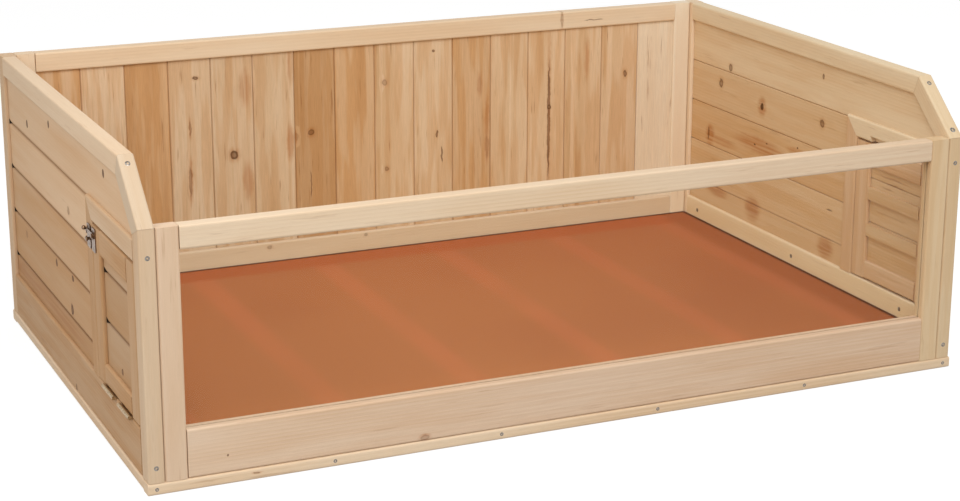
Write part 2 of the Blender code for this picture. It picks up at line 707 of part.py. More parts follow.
def build_latch(pen, prefix, side, door_axis):
    """Hook on the door and stud on the jamb. The hook stands just clear of the stud at rest."""
    face = side * HALF_WIDTH
    top = DOOR_TOP - LATCH_TOP_DROP
    bottom = top - LATCH_PLATE_HEIGHT
    centre_z = (top + bottom) / 2
    jamb_low = DOORWAY_BACK + LATCH_EDGE_INSET
    door_low = DOOR_BACK - LATCH_EDGE_INSET - LATCH_PLATE_WIDTH
    pivot = Vector((door_low + LATCH_PLATE_WIDTH / 2, centre_z + PIVOT_RISE))
    stud = Vector((jamb_low + LATCH_PLATE_WIDTH / 2, centre_z - STUD_DROP))

    plate_low = SEAT_GAP
    plate_high = plate_low + LATCH_PLATE_THICKNESS
    hook_low = plate_high + LATCH_CLEARANCE
    hook_high = hook_low + HOOK_THICKNESS
    head_low = hook_high + LATCH_CLEARANCE

    def outward(distance):
        return face + side * distance

    def plate(first_low):
        first_high = first_low + LATCH_PLATE_WIDTH
        outline = rounded_rectangle(first_low, first_high, bottom, top, LATCH_CORNER_RADIUS)
        return prism("YZ", [outline], *sorted((outward(plate_low), outward(plate_high))))

    def headed_pin(place, radius, head_radius, head_height):
        root = plate_low + LATCH_PLATE_THICKNESS / 2
        shoulder = head_low - root
        profile = [
            (0.0, shoulder + head_height),
            (head_radius * HEAD_FLAT_SHARE, shoulder + head_height),
            (head_radius, shoulder + head_height / 2),
            (head_radius, shoulder),
            (radius, shoulder),
            (radius, 0.0),
            (0.0, 0.0),
        ]
        return turned(profile, (outward(root), place.x, place.y), side)

    rivet = headed_pin(pivot, RIVET_RADIUS, RIVET_HEAD_RADIUS, RIVET_HEAD_HEIGHT)
    pivot_plate = combined(plate(door_low), [rivet], "UNION")
    shade_round(pen.solid(f"{prefix}_latch_plate", pivot_plate, pen.zinc, door_axis))
    keeper = headed_pin(stud, STUD_NECK_RADIUS, STUD_HEAD_RADIUS, STUD_HEAD_HEIGHT)
    shade_round(pen.solid(f"{prefix}_latch_stud", combined(plate(jamb_low), [keeper], "UNION"), pen.zinc))

    arm = stud - pivot
    raised = math.atan2(arm.y, arm.x) + math.radians(HOOK_LIFT_DEG)
    along = Vector((math.cos(raised), math.sin(raised)))
    above = Vector((-along.y, along.x))

    def on_wall(point):
        place = pivot + along * point[0] + above * point[1]
        return (place.x, place.y)

    hole = arc((0.0, 0.0), RIVET_RADIUS + LATCH_CLEARANCE, 0, 360 - 360 / ROUND_STEPS, ROUND_STEPS - 1)
    outline = [on_wall(point) for point in hook_outline(arm.length)]
    bore = [on_wall(point) for point in hole]
    hook = prism("YZ", [outline, bore], *sorted((outward(hook_low), outward(hook_high))))
    tail_end = arm.length + HOOK_OUTER_RADIUS + HOOK_TAIL_LENGTH
    tip = on_wall((tail_end, HOOK_OUTER_RADIUS - HOOK_TAIL_WIDTH / 2))
    knob = ball_mesh(KNOB_RADIUS, (outward(hook_low + KNOB_RADIUS), *tip))
    pivot_axis = pen.axis(f"{prefix}_hook_pivot", (outward(hook_low), pivot.x, pivot.y))
    settle()
    shade_round(pen.solid(f"{prefix}_latch_hook", combined(hook, [knob], "UNION"), pen.zinc, pivot_axis))
    hang_on(pivot_axis, door_axis)


def main():
    clear_scene()
    pen = Pen()
    build_base(pen)
    build_front(pen)
    build_back(pen)
    for prefix, side in (("left", -1), ("right", 1)):
        build_side(pen, prefix, side)
        axis = build_door(pen, prefix, side)
        build_hinges(pen, prefix, side, axis)
        build_latch(pen, prefix, side, axis)


main()
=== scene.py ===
"""Looks of the small-animal pen: fir timber, clear front, faced floor, metal fittings and screws."""

import json
import math

import bmesh
import bpy
from mathutils import Matrix, Vector


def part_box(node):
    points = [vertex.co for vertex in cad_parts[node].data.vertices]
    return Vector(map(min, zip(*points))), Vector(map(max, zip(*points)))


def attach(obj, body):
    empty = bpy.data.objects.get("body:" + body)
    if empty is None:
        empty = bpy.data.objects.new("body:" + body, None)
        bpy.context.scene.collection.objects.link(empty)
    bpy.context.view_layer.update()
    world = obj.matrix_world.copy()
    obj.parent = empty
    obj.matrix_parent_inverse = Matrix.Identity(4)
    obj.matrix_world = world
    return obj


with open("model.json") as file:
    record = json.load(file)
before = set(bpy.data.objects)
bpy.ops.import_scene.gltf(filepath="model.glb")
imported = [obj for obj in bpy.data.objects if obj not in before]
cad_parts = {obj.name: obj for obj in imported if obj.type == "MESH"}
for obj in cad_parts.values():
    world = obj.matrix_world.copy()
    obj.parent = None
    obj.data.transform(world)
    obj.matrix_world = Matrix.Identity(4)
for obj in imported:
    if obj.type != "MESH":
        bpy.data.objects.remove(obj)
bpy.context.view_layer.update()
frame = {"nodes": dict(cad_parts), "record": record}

# Photograph's frame and the camera that was fitted to it
PHOTO_WIDTH = 960
FOCAL_PIXELS = 2149.0
SENSOR_WIDTH_MM = 36.0
CAMERA_PLACE = (-1.255, -2.8635, 1.071)
CAMERA_AZIMUTH_DEG = 24.05
CAMERA_DIP_DEG = 16.48
CAMERA_ROLL_DEG = 0.12

# Light levels
SKY_STRENGTH = 0.58
GROUND_COLOUR = 0.46
GROUND_GLOW = 0.70

# Softboxes: name, place, target, size, watts and tint
SOFTBOXES = (
    ("key", (-0.5, -2.0, 2.2), (0.0, 0.0, 0.2), 1.8, 41.4, (1.0, 1.0, 1.0)),
    ("fill", (2.6, -2.0, 2.2), (0.0, 0.0, 0.2), 2.0, 10.0, (1.0, 0.96, 0.78)),
    ("side", (-1.75, -0.5, 1.25), (-0.61, 0.0, 0.3), 0.9, 7.7, (1.0, 0.90, 0.81)),
)

# Studio ground
GROUND_HALF_WIDTH = 14.0
GROUND_CELLS = 8
GROUND_DROP = 0.0004
GROUND_ROUGHNESS = 0.9

# Timber grain: noise per metre along and across the grain, then the noise's detail and roughness
WANDER_GRAIN = (1.1, 9.0, 1.5, 0.5)
BROAD_GRAIN = (2.2, 22.0, 2.0, 0.5)
BAND_GRAIN = (5.5, 65.0, 2.0, 0.5)
STREAK_GRAIN = (6.0, 230.0, 3.0, 0.6)
FLECK_GRAIN = (11.0, 190.0, 3.0, 0.6)
FIBRE_GRAIN = (40.0, 1600.0, 2.0, 0.7)

# Growth rings round a pith behind the face, and the two flanks of each dark line
RING_SPACING = 0.0052
RING_WANDER = 0.040
RING_FOLD = 0.045
RING_RISE = (0.25, 0.92)
RING_FALL = (1.0, 0.95)
PITH_DISTANCE = 0.055

# How much of the grain shows: the range of its noise, and the strength
RING_PATCHES = (0.25, 0.75)
RING_FAINT = 0.15
RING_STRONG = 0.85
STREAK_RANGE = (0.42, 0.78)
STREAK_SHARE = 0.55
FLECK_RANGE = (0.62, 0.74)
FLECK_SHARE = 0.6
FIBRE_RANGE = (0.2, 0.8)
FIBRE_DARKER = 0.11
FIBRE_LIGHTER = 0.09
USUAL_GRAIN = 0.45

# Warmth that noise adds: the noise from low to high, then the warmth from low to high
BROAD_WARMTH = (0.35, 0.8, -0.12, 0.22)
BAND_WARMTH = (0.44, 0.58, -0.14, 0.26)
BAND_BY_WARMTH = (0.0, 0.3, 0.3, 1.0)

# Least warmth, its spread among the pieces of a wall, and the tints of whole walls
PALEST = -0.5
WARMTH_SPREAD = 0.1
SPREAD_STEP = 0.618
NO_TINT = (1.0, 1.0, 1.0)
RIGHT_TINT = (0.985, 1.012, 0.97)
FRONT_TINT = (0.985, 0.965, 1.0)

# Timber surface
WOOD_ROUGHNESS = 0.58
LINE_ROUGHNESS = (0.62, 0.5)
WOOD_GLOSS = 0.10
GRAIN_BUMP_DEPTH = 0.00012
FIBRE_HEIGHT = 0.6
RING_HEIGHT = 0.4

# Shifts that give each piece and each board timber of its own
SEED_ALONG = 3.17
SEED_ALONG_SPAN = 5.0
SEED_ACROSS = 0.731
SEED_DEPTH = 0.377
BOARD_ALONG = 4.0
BOARD_ACROSS = 0.5
BACK_SEED = 3.0
LEFT_SEED = 11.0
RIGHT_SEED = 17.0
DOOR_SEED_STEP = 12.0
PIECE_SEED_START = 1.0
PIECE_SEED_STEP = 1.37

# Knots: paler middles, uneven outlines, and the reach of each effect in half sizes of the knot
KNOT_MIDDLE = 0.65
KNOT_WOBBLE_SCALE = 90.0
KNOT_WOBBLE = 0.005
KNOT_EDGE = (1.15, 0.8)
KNOT_INSIDE = (0.85, 0.3)
HALO_REACH = (2.2, 0.8)
HALO_SHARE = 0.6
HALO_BY_STREAK = (0.3, 0.62, 0.3, 1.0)
USUAL_HALO = 0.6
PUSH_REACH = (3.6, 0.0)
PUSH_SHARE = 0.3

# Boards, the dark joints between them and the painted shadow in the joints' open ends
BOARD_PITCH = 0.0698
BOARD_IN_GROOVE = 0.0074
DOOR_FIRST_JOINT = 0.0264
JOINT_CORE = 0.0003
JOINT_REACH = 0.0012
LEFT_JOINT_REACH = 0.0050
LEFT_JOINT_DARKNESS = 0.56
RIGHT_JOINT_DARKNESS = 0.3
BACK_JOINT_DARKNESS = 0.25
JOINT_END_LENGTH = 0.019
JOINT_END_HALF_HEIGHT = 0.0045
JOINT_END_EDGE = (1.0, 0.8)

# Floor bands from front to back, the strips and the wider zone of painted shade by the walls, and the
# painted shadow in the gap at the edge of the sheet
BAND_START = -0.325
BAND_PITCH = 0.2103
BAND_EDGE = (0.15, 0.04)
BAND_BY_CLOUD = (0.25, 0.6, 0.45, 0.95)
END_SHADE_STRIP = (0.070, 0.049)
END_SHADE_SHARE = 0.8
SIDE_SHADE_STRIP = (0.072, 0.036)
SIDE_SHADE_SHARE = 0.85
FLOOR_SHADE_ZONE = 0.12
GAP_SHADOW_WIDTH = 0.009
GAP_SHADOW_SHARE = 0.85

# Floor noise, its surface, and the places that are a deeper red: painted shade towards the right and by the
# walls, and clouds and grain of the sheet
FLOOR_CLOUD_SCALE = 3.5
FLOOR_GRAIN = (900.0, 2.0, 0.6)
FLOOR_ROUGHNESS = 0.5
FLOOR_GLOSS = 0.02
ROUGHNESS_BY_GRAIN = (0.2, 0.8, 0.44, 0.58)
FLOOR_BUMP = (0.0001, 0.5)
SHADE_AT_RIGHT = 0.25
SHADE_AT_EDGE = 0.15
DEEP_BY_CLOUD = (0.45, 0.8, 0.0, 0.22)
DEEP_BY_GRAIN = (0.35, 0.75, 0.0, 0.2)

# Clear sheet
CLEAR_COLOUR = (0.985, 0.99, 0.985, 1.0)
CLEAR_ROUGHNESS = 0.02
CLEAR_IOR = 1.15

# Mottle of plated metal: noise scale, detail and roughness, and what it changes
MOTTLE = (420.0, 3.0, 0.6)
MOTTLE_COLOUR_RANGE = (0.35, 0.75)
MOTTLE_RANGE = (0.2, 0.8)
MOTTLE_SMOOTHER = 0.08
MOTTLE_ROUGHER = 0.1
MOTTLE_BUMP = (0.00005, 0.4)

# Screws
SCREW_HEAD_RADIUS = 0.0033
SCREW_HEAD_RISE = 0.0006
SCREW_SIDES = 24
SCREW_RINGS = (1.0, 0.85, 0.5)
SCREW_TURN_STEP = 0.9
SHARP_EDGE_DEG = 30.0
SMALL_SCREW_SCALE = 0.7
SLOPE_SCREW_SCALE = 1.3
RIM_SCREW_SCALE = 0.8
CROSS_LENGTH = 0.0044
CROSS_WIDTH = 0.0010
CROSS_DEPTH = 0.0010
CROSS_TAPER = 0.45
FRONT_SCREW_HEIGHTS = (0.313, 0.036)
REAR_SCREW_HEIGHTS = (0.390, 0.036)
SLOPE_SCREW_SHARES = {"left": (0.87,), "right": (0.13, 0.87)}
RAIL_SCREW_PLACES = (0.325, 0.015, -0.292)
RAIL_SCREW_HEIGHT = 0.063
LATCH_PLATE_FACE = 0.0015
LATCH_SCREW_INSET = 0.0045
JOIST_COUNT = 4


def srgb(red, green, blue):
    """A colour as seen on screen, from 0 to 255, made linear by the standard curve."""
    def linear(value):
        share = value / 255.0
        if share <= 0.04045:
            return share / 12.92
        return ((share + 0.055) / 1.055) ** 2.4
    return (linear(red), linear(green), linear(blue), 1.0)


# Timber colours: the palest boards, early wood, late wood lines, warm heartwood, knots, joints, and the
# painted shadow in the joints' open ends
PALE_WOOD = srgb(238, 220, 195)
EARLY_WOOD = srgb(232, 206, 175)
LATE_WOOD = srgb(213, 179, 136)
HEART_EARLY = srgb(213, 167, 119)
HEART_LATE = srgb(187, 136, 86)
KNOT_DARK = srgb(86, 50, 23)
FLECK_BROWN = srgb(158, 104, 58)
KNOT_HALO = srgb(182, 110, 50)
JOINT_SHADE = srgb(124, 78, 42)
JOINT_END_SHADOW = srgb(36, 22, 12)

# Faced floor: brown in the middle, redder in the bands, a deeper red in painted shade by the walls, a
# painted shadow in the gap at its edge, and the colour of the light it throws back
FLOOR_BROWN = srgb(192, 124, 76)
FLOOR_RED = srgb(206, 128, 81)
FLOOR_DEEP_RED_AND_SHADE = srgb(160, 88, 54)
FLOOR_END_SHADE = srgb(184, 100, 55)
FLOOR_SIDE_SHADE = srgb(167, 98, 57)
FLOOR_GAP_SHADOW = srgb(66, 34, 20)
FLOOR_BOUNCE = srgb(201, 170, 113)

# Plated metal: bright and dull places, and roughness
LATCH_ZINC = (srgb(146, 117, 92), srgb(64, 48, 35), 0.28)
HINGE_BRASS = (srgb(192, 168, 132), srgb(140, 114, 80), 0.34)
SCREW_STEEL = (srgb(156, 150, 144), srgb(84, 78, 72), 0.36)

# Places of the colour sockets on a Mix node
MIX_FIRST = 6
MIX_SECOND = 7
MIX_RESULT = 2


class Shader:
    """A material's node tree, with short calls that add one node and give back its output."""

    def __init__(self, name, roughness, metallic=0.0, gloss=0.5):
        self.material = bpy.data.materials.new(name)
        self.material.use_nodes = True
        self.tree = self.material.node_tree
        self.bsdf = self.tree.nodes["Principled BSDF"]
        self.bsdf.inputs["Roughness"].default_value = roughness
        self.bsdf.inputs["Metallic"].default_value = metallic
        self.bsdf.inputs["Specular IOR Level"].default_value = gloss

    def node(self, kind, inputs=None, **settings):
        node = self.tree.nodes.new("ShaderNode" + kind)
        for key, value in settings.items():
            setattr(node, key, value)
        for key, value in (inputs or {}).items():
            self.put(value, node.inputs[key])
        return node

    def put(self, value, socket):
        if isinstance(value, bpy.types.NodeSocket):
            self.tree.links.new(value, socket)
        else:
            socket.default_value = value

    def surface(self, value, name):
        self.put(value, self.bsdf.inputs[name])

    def math(self, operation, first, second=0.0, third=0.0, clamp=False):
        inputs = {0: first, 1: second, 2: third}
        return self.node("Math", inputs, operation=operation, use_clamp=clamp).outputs[0]

    def times(self, first, second):
        return self.math("MULTIPLY", first, second)

    def plus(self, first, second):
        return self.math("ADD", first, second)

    def minus(self, first, second):
        return self.math("SUBTRACT", first, second)

    def larger(self, first, second):
        return self.math("MAXIMUM", first, second)

    def length(self, first, second):
        flat = self.together(first, second, 0.0)
        return self.node("VectorMath", {0: flat}, operation="LENGTH").outputs["Value"]

    def noise(self, vector, scale, detail=2.0, roughness=0.5):
        inputs = {"Vector": vector, "Scale": scale, "Detail": detail, "Roughness": roughness}
        return self.node("TexNoise", inputs).outputs["Fac"]

    def mix(self, share, first, second, blend="MIX"):
        node = self.node("Mix", data_type="RGBA", blend_type=blend)
        self.put(share, node.inputs[0])
        self.put(first, node.inputs[MIX_FIRST])
        self.put(second, node.inputs[MIX_SECOND])
        return node.outputs[MIX_RESULT]

    def smooth(self, value, low, high, to_low=0.0, to_high=1.0):
        inputs = {"Value": value, "From Min": low, "From Max": high, "To Min": to_low, "To Max": to_high}
        return self.node("MapRange", inputs, interpolation_type="SMOOTHSTEP").outputs[0]

    def place(self):
        """The point on the piece, in metres, where it is at rest."""
        return self.node("TexCoord").outputs["Object"]

    def apart(self, vector):
        return list(self.node("SeparateXYZ", {0: vector}).outputs)

    def together(self, first, second, third):
        return self.node("CombineXYZ", {0: first, 1: second, 2: third}).outputs[0]

    def steps(self, value, levels):
        """A level for each equal share of 0 to 1, without blending."""
        ramp = self.node("ValToRGB", {0: value})
        ramp.color_ramp.interpolation = "CONSTANT"
        elements = ramp.color_ramp.elements
        while len(elements) < len(levels):
            elements.new(0.5)
        for number in range(len(levels)):
            elements[number].position = number / len(levels)
        for element, level in zip(elements, levels):
            element.color = (level, level, level, 1.0)
        return ramp.outputs[0]

    def bump(self, height, depth, strength=1.0):
        inputs = {"Height": height, "Distance": depth, "Strength": strength}
        self.surface(self.node("Bump", inputs).outputs[0], "Normal")


# Wood

# Order of the world directions for grain along each axis: along the grain, then across it
GRAIN_ORDER = {"X": (0, 1, 2), "Y": (1, 0, 2), "Z": (2, 0, 1)}


class Look:
    """A piece of timber's warmth of colour, lightness, strength of grain and tint; on the left wall the
    warmth and lightness also hold painted shade.
    """

    def __init__(self, warmth, shade=1.0, grain=USUAL_GRAIN, tint=NO_TINT):
        self.warmth = warmth
        self.shade = shade
        self.grain = grain
        self.tint = tint


class Boards:
    """Boards side by side along an axis, from a first edge, with the look of each and of their joints."""

    def __init__(self, axis, start, warmth, shade, joint_darkness, joint_reach):
        self.axis = "XYZ".index(axis)
        self.start = start
        self.warmth = warmth
        self.shade = shade
        self.joint_darkness = joint_darkness
        self.joint_reach = joint_reach
        self.shaded_ends = False

    def shade_ends_at(self, edge, middle):
        """Lets the level joints show painted shadow in their open ends by an upright edge, on the outside
        of the left wall.
        """
        self.shaded_ends = True
        self.edge = edge
        self.middle = middle


class Knot:
    """A knot or streak on a flat piece: its middle and half sizes along the piece's two face directions."""

    def __init__(self, first, second, half_first, half_second, dark=1.0, halo=USUAL_HALO):
        self.middle = (first, second)
        self.half = (half_first, half_second)
        self.dark = dark
        self.halo = halo


class Timber(Shader):
    """Planed fir with its grain along one axis of the pen."""

    def __init__(self, name, axis, seed, look, boards=None, knots=(), tilt=0.0):
        super().__init__(name, WOOD_ROUGHNESS, gloss=WOOD_GLOSS)
        place = self.place()
        if tilt:
            turn = self.node("VectorRotate", {"Vector": place, "Angle": tilt}, rotation_type="X_AXIS")
            place = turn.outputs[0]
        self.parts = self.apart(place)
        self.along, self.across, self.depth = (self.parts[number] for number in GRAIN_ORDER[axis])
        self.warmth = look.warmth
        self.shade = look.shade
        self.tint = look.tint
        self.joint = 0.0
        self.end_shadow = 0.0
        if boards:
            self.part_boards(boards)
        self.along = self.plus(self.along, seed * SEED_ALONG % SEED_ALONG_SPAN)
        self.across = self.plus(self.across, seed * SEED_ACROSS % 1.0)
        self.depth = self.plus(self.depth, seed * SEED_DEPTH % 1.0 * PITH_DISTANCE)
        wobble = self.times(self.minus(self.noise(place, KNOT_WOBBLE_SCALE), 0.5), KNOT_WOBBLE)
        level = self.parts[1] if axis == "Y" else self.parts[0]
        face = (self.plus(level, wobble), self.plus(self.parts[2], wobble))
        self.colour(look.grain, *self.knots_on(face, knots))

    def part_boards(self, boards):
        """Gives each board its own timber, and finds the joints between them."""
        count = self.times(self.minus(self.parts[boards.axis], boards.start), 1.0 / BOARD_PITCH)
        number = self.math("FLOOR", count)
        share = self.times(self.plus(number, 0.5), 1.0 / len(boards.warmth))
        span = 1.0 - PALEST
        levels = self.steps(share, [(warmth - PALEST) / span for warmth in boards.warmth])
        self.warmth = self.math("MULTIPLY_ADD", levels, span, PALEST)
        self.shade = self.steps(share, boards.shade)
        own = self.node("TexWhiteNoise", {"W": number}, noise_dimensions="1D").outputs["Color"]
        own_along, own_across, own_depth = self.apart(own)
        self.along = self.math("MULTIPLY_ADD", own_along, BOARD_ALONG, self.along)
        self.across = self.math("MULTIPLY_ADD", own_across, BOARD_ACROSS, self.across)
        self.depth = self.math("MULTIPLY_ADD", own_depth, PITH_DISTANCE, self.depth)
        gap = self.times(self.math("PINGPONG", count, 0.5), BOARD_PITCH)
        self.joint = self.smooth(gap, boards.joint_reach, JOINT_CORE, 0.0, boards.joint_darkness)
        if boards.shaded_ends:
            self.shade_joint_ends(boards, count, gap)

    def shade_joint_ends(self, boards, count, gap):
        """Pointed painted shadow in the open ends of the joints, but not at the top edge of the top board.
        """
        from_edge = self.math("ABSOLUTE", self.minus(self.parts[1], boards.edge))
        reach = self.times(from_edge, 1.0 / JOINT_END_LENGTH)
        reach = self.plus(reach, self.times(gap, 1.0 / JOINT_END_HALF_HEIGHT))
        outside = self.math("LESS_THAN", self.parts[0], boards.middle)
        below_top = self.math("LESS_THAN", count, len(boards.warmth) - 0.5)
        self.end_shadow = self.times(self.smooth(reach, *JOINT_END_EDGE), self.times(outside, below_top))

    def knots_on(self, face, knots):
        """Darkness, halo and grain push of all the knots on a piece."""
        dark = 0.0
        halo = 0.0
        push = 0.0
        for knot in knots:
            offsets = [
                self.times(self.minus(direction, middle), 1.0 / half)
                for direction, middle, half in zip(face, knot.middle, knot.half)
            ]
            distance = self.length(*offsets)
            edge = self.smooth(distance, *KNOT_EDGE, 0.0, knot.dark)
            if knot.halo:
                edge = self.times(edge, self.smooth(distance, *KNOT_INSIDE, 1.0, KNOT_MIDDLE))
                halo = self.larger(halo, self.smooth(distance, *HALO_REACH, 0.0, HALO_SHARE * knot.halo))
                push = self.plus(push, self.smooth(distance, *PUSH_REACH, 0.0, PUSH_SHARE * knot.halo))
            dark = self.larger(dark, edge)
        return dark, halo, push

    def grain_noise(self, grain):
        """Noise drawn out along the grain."""
        lengthwise, crosswise, detail, roughness = grain
        stretched = self.together(
            self.times(self.along, lengthwise),
            self.times(self.across, crosswise),
            self.times(self.depth, crosswise),
        )
        return self.noise(stretched, 1.0, detail, roughness)

    def late_wood(self, push):
        """Dark part of the growth rings, which lie round a pith behind the face."""
        wander = self.minus(self.grain_noise(WANDER_GRAIN), 0.5)
        fold = self.math("PINGPONG", self.across, RING_FOLD)
        radius = self.length(
            self.math("MULTIPLY_ADD", wander, RING_WANDER, fold), self.plus(self.depth, PITH_DISTANCE)
        )
        saw = self.math("FRACT", self.plus(self.times(radius, 1.0 / RING_SPACING), push))
        return self.times(self.smooth(saw, *RING_RISE), self.smooth(saw, *RING_FALL))

    def colour(self, grain, dark, halo, push):
        """Colour, roughness and fine relief from the rings, streaks, fibres, knots and joints, with painted
        shadow in the joints' open ends.
        """
        late = self.late_wood(push)
        broad = self.grain_noise(BROAD_GRAIN)
        band = self.grain_noise(BAND_GRAIN)
        streak = self.grain_noise(STREAK_GRAIN)
        fibre = self.grain_noise(FIBRE_GRAIN)
        fleck = self.smooth(self.grain_noise(FLECK_GRAIN), *FLECK_RANGE, 0.0, FLECK_SHARE * grain)
        rings = self.times(late, self.smooth(broad, *RING_PATCHES, RING_FAINT * grain, RING_STRONG * grain))
        lines = self.larger(rings, self.smooth(streak, *STREAK_RANGE, 0.0, STREAK_SHARE * grain))
        pale = self.mix(lines, EARLY_WOOD, LATE_WOOD)
        heart = self.mix(lines, HEART_EARLY, HEART_LATE)
        varied = self.smooth(band, *BAND_WARMTH)
        varied = self.times(varied, self.smooth(self.warmth, *BAND_BY_WARMTH))
        drift = self.plus(self.smooth(broad, *BROAD_WARMTH), self.times(varied, grain))
        warmth = self.plus(self.warmth, drift)
        palest = self.mix(lines, PALE_WOOD, EARLY_WOOD)
        sapwood = self.mix(self.math("MULTIPLY", warmth, 1.0 / PALEST, clamp=True), pale, palest)
        colour = self.mix(self.math("MULTIPLY", warmth, 1.0, clamp=True), sapwood, heart)
        colour = self.mix(fleck, colour, FLECK_BROWN)
        colour = self.mix(self.times(halo, self.smooth(streak, *HALO_BY_STREAK)), colour, KNOT_HALO)
        colour = self.mix(dark, colour, KNOT_DARK)
        colour = self.mix(self.joint, colour, JOINT_SHADE)
        # Painted shadow in the open ends of the joints
        colour = self.mix(self.end_shadow, colour, JOINT_END_SHADOW)
        tone = self.smooth(fibre, *FIBRE_RANGE, 1.0 - FIBRE_DARKER * grain, 1.0 + FIBRE_LIGHTER * grain)
        tone = self.times(tone, self.shade)
        tinted = self.together(*[self.times(tone, share) for share in self.tint])
        self.surface(self.mix(1.0, colour, tinted, "MULTIPLY"), "Base Color")
        self.surface(self.smooth(lines, 0.0, 1.0, *LINE_ROUGHNESS), "Roughness")
        relief = self.plus(self.times(fibre, FIBRE_HEIGHT), self.times(late, RING_HEIGHT))
        self.bump(relief, GRAIN_BUMP_DEPTH)


# Grain and tint of the boards in each wall
BACK_TIMBER = Look(0.0, grain=0.9)
LEFT_TIMBER = Look(0.0, grain=0.18)
RIGHT_TIMBER = Look(0.0, 1.0, 0.38, RIGHT_TINT)

# Warmth and shade of each upright back board, from the left, then darkness and reach of the joints
BACK_LOOKS = (
    [0.75, 0.35, 1.0, 0.3, 0.4, 0.35, 0.93, 0.85, 0.4, 0.45, 0.9, 0.4, 0.5, 0.42, 0.5, -0.45],
    [0.96, 0.95, 0.95, 0.90, 0.89, 0.91, 0.88, 0.96, 0.98, 0.97, 0.93, 0.99, 1.0, 1.0, 1.0, 1.0],
    BACK_JOINT_DARKNESS,
    JOINT_REACH,
)

# The same for the level boards of the sides and doors, from the bottom
# On the left wall the lower boards are darker and warmer: painted shade that grows towards the bottom
LEFT_LOOKS_WITH_SHADE = (
    [1.0, 0.95, 0.80, 0.47, 0.48],
    [0.765, 0.83, 0.89, 1.0, 0.97],
    LEFT_JOINT_DARKNESS,
    LEFT_JOINT_REACH,
)
RIGHT_LOOKS = (
    [0.64, 0.58, 0.80, 0.58, 0.24],
    [0.965, 0.985, 0.98, 0.98, 1.0],
    RIGHT_JOINT_DARKNESS,
    JOINT_REACH,
)
# The left door's boards are darker and warmer too: painted shade
LEFT_DOOR_LOOKS_WITH_SHADE = ([0.70, 0.90, 0.55], [0.75, 0.75, 0.80], LEFT_JOINT_DARKNESS, LEFT_JOINT_REACH)
RIGHT_DOOR_LOOKS = ([0.62, 0.72, 0.60], [0.955, 0.945, 0.955], RIGHT_JOINT_DARKNESS, JOINT_REACH)

# Knots, pitch streaks and stains that stand out on the walls and rails, and one broad patch of painted
# shade
BACK_KNOTS = [
    Knot(-0.244, 0.234, 0.0070, 0.0078, 0.85, 0.8),
    Knot(-0.112, 0.259, 0.0050, 0.0052, 0.65, 0.9),
    Knot(-0.305, 0.365, 0.0050, 0.0030, 0.8),
    Knot(-0.316, 0.284, 0.0018, 0.0120, 0.4, 0.8),
    Knot(-0.318, 0.197, 0.0026, 0.0240, 0.42, 1.0),
    Knot(-0.114, 0.172, 0.0010, 0.0220, 0.7, 0.2),
    Knot(0.105, 0.377, 0.0025, 0.0025, 0.9, 0.3),
    Knot(0.018, 0.331, 0.0045, 0.0055, 0.4, 0.4),
    Knot(0.111, 0.235, 0.0020, 0.0060, 0.8, 0.3),
    Knot(0.120, 0.199, 0.0014, 0.0140, 0.8, 0.3),
    Knot(0.020, 0.184, 0.0040, 0.0040, 0.5, 0.4),
    Knot(0.319, 0.240, 0.0024, 0.1000, 0.75, 0.8),
    Knot(0.320, 0.263, 0.0035, 0.0050, 0.9, 0.5),
    Knot(0.189, 0.313, 0.0030, 0.0140, 0.1, 0.7),
    Knot(0.203, 0.204, 0.0030, 0.0200, 0.2, 0.8),
    Knot(0.465, 0.309, 0.0032, 0.0065, 0.75, 0.7),
    Knot(-0.223, 0.342, 0.0065, 0.0180, 0.0, 0.8),
    Knot(-0.222, 0.188, 0.0055, 0.0200, 0.0, 0.8),
    Knot(-0.146, 0.372, 0.0028, 0.0200, 0.0, 0.9),
    Knot(-0.148, 0.246, 0.0040, 0.0190, 0.0, 0.9),
    Knot(-0.137, 0.254, 0.0022, 0.0070, 0.3, 0.9),
    Knot(0.391, 0.339, 0.0028, 0.0220, 0.0, 0.8),
    Knot(0.203, 0.250, 0.0028, 0.0250, 0.0, 0.8),
]
RIGHT_KNOTS = [
    Knot(0.236, 0.335, 0.0060, 0.0065, 0.7, 0.4),
    Knot(0.266, 0.303, 0.0065, 0.0075, 0.7, 0.5),
    Knot(0.131, 0.289, 0.0054, 0.0064, 0.9, 0.0),
    Knot(0.131, 0.289, 0.0080, 0.0100, 0.0, 1.1),
    Knot(-0.048, 0.375, 0.0030, 0.0040, 0.8, 0.2),
    Knot(-0.051, 0.299, 0.0060, 0.0062, 0.7, 0.6),
    Knot(0.303, 0.207, 0.0032, 0.0120, 0.55, 0.0),
    Knot(0.298, 0.205, 0.0090, 0.0110, 0.0, 1.2),
    Knot(0.262, 0.201, 0.0320, 0.0045, 0.0, 0.7),
    Knot(0.136, 0.221, 0.0480, 0.0085, 0.0, 1.1),
    Knot(0.020, 0.236, 0.0180, 0.0040, 0.0, 0.9),
    Knot(0.150, 0.221, 0.0030, 0.0016, 0.8, 0.0),
    Knot(0.112, 0.230, 0.0026, 0.0014, 0.8, 0.0),
    Knot(0.018, 0.244, 0.0026, 0.0016, 0.8, 0.0),
    Knot(0.271, 0.110, 0.0220, 0.0060, 0.03, 1.0),
    Knot(0.150, 0.108, 0.0150, 0.0130, 0.04, 1.2),
    Knot(-0.075, 0.100, 0.0140, 0.0110, 0.04, 1.2),
    Knot(-0.082, 0.165, 0.0080, 0.0012, 0.8, 0.2),
]
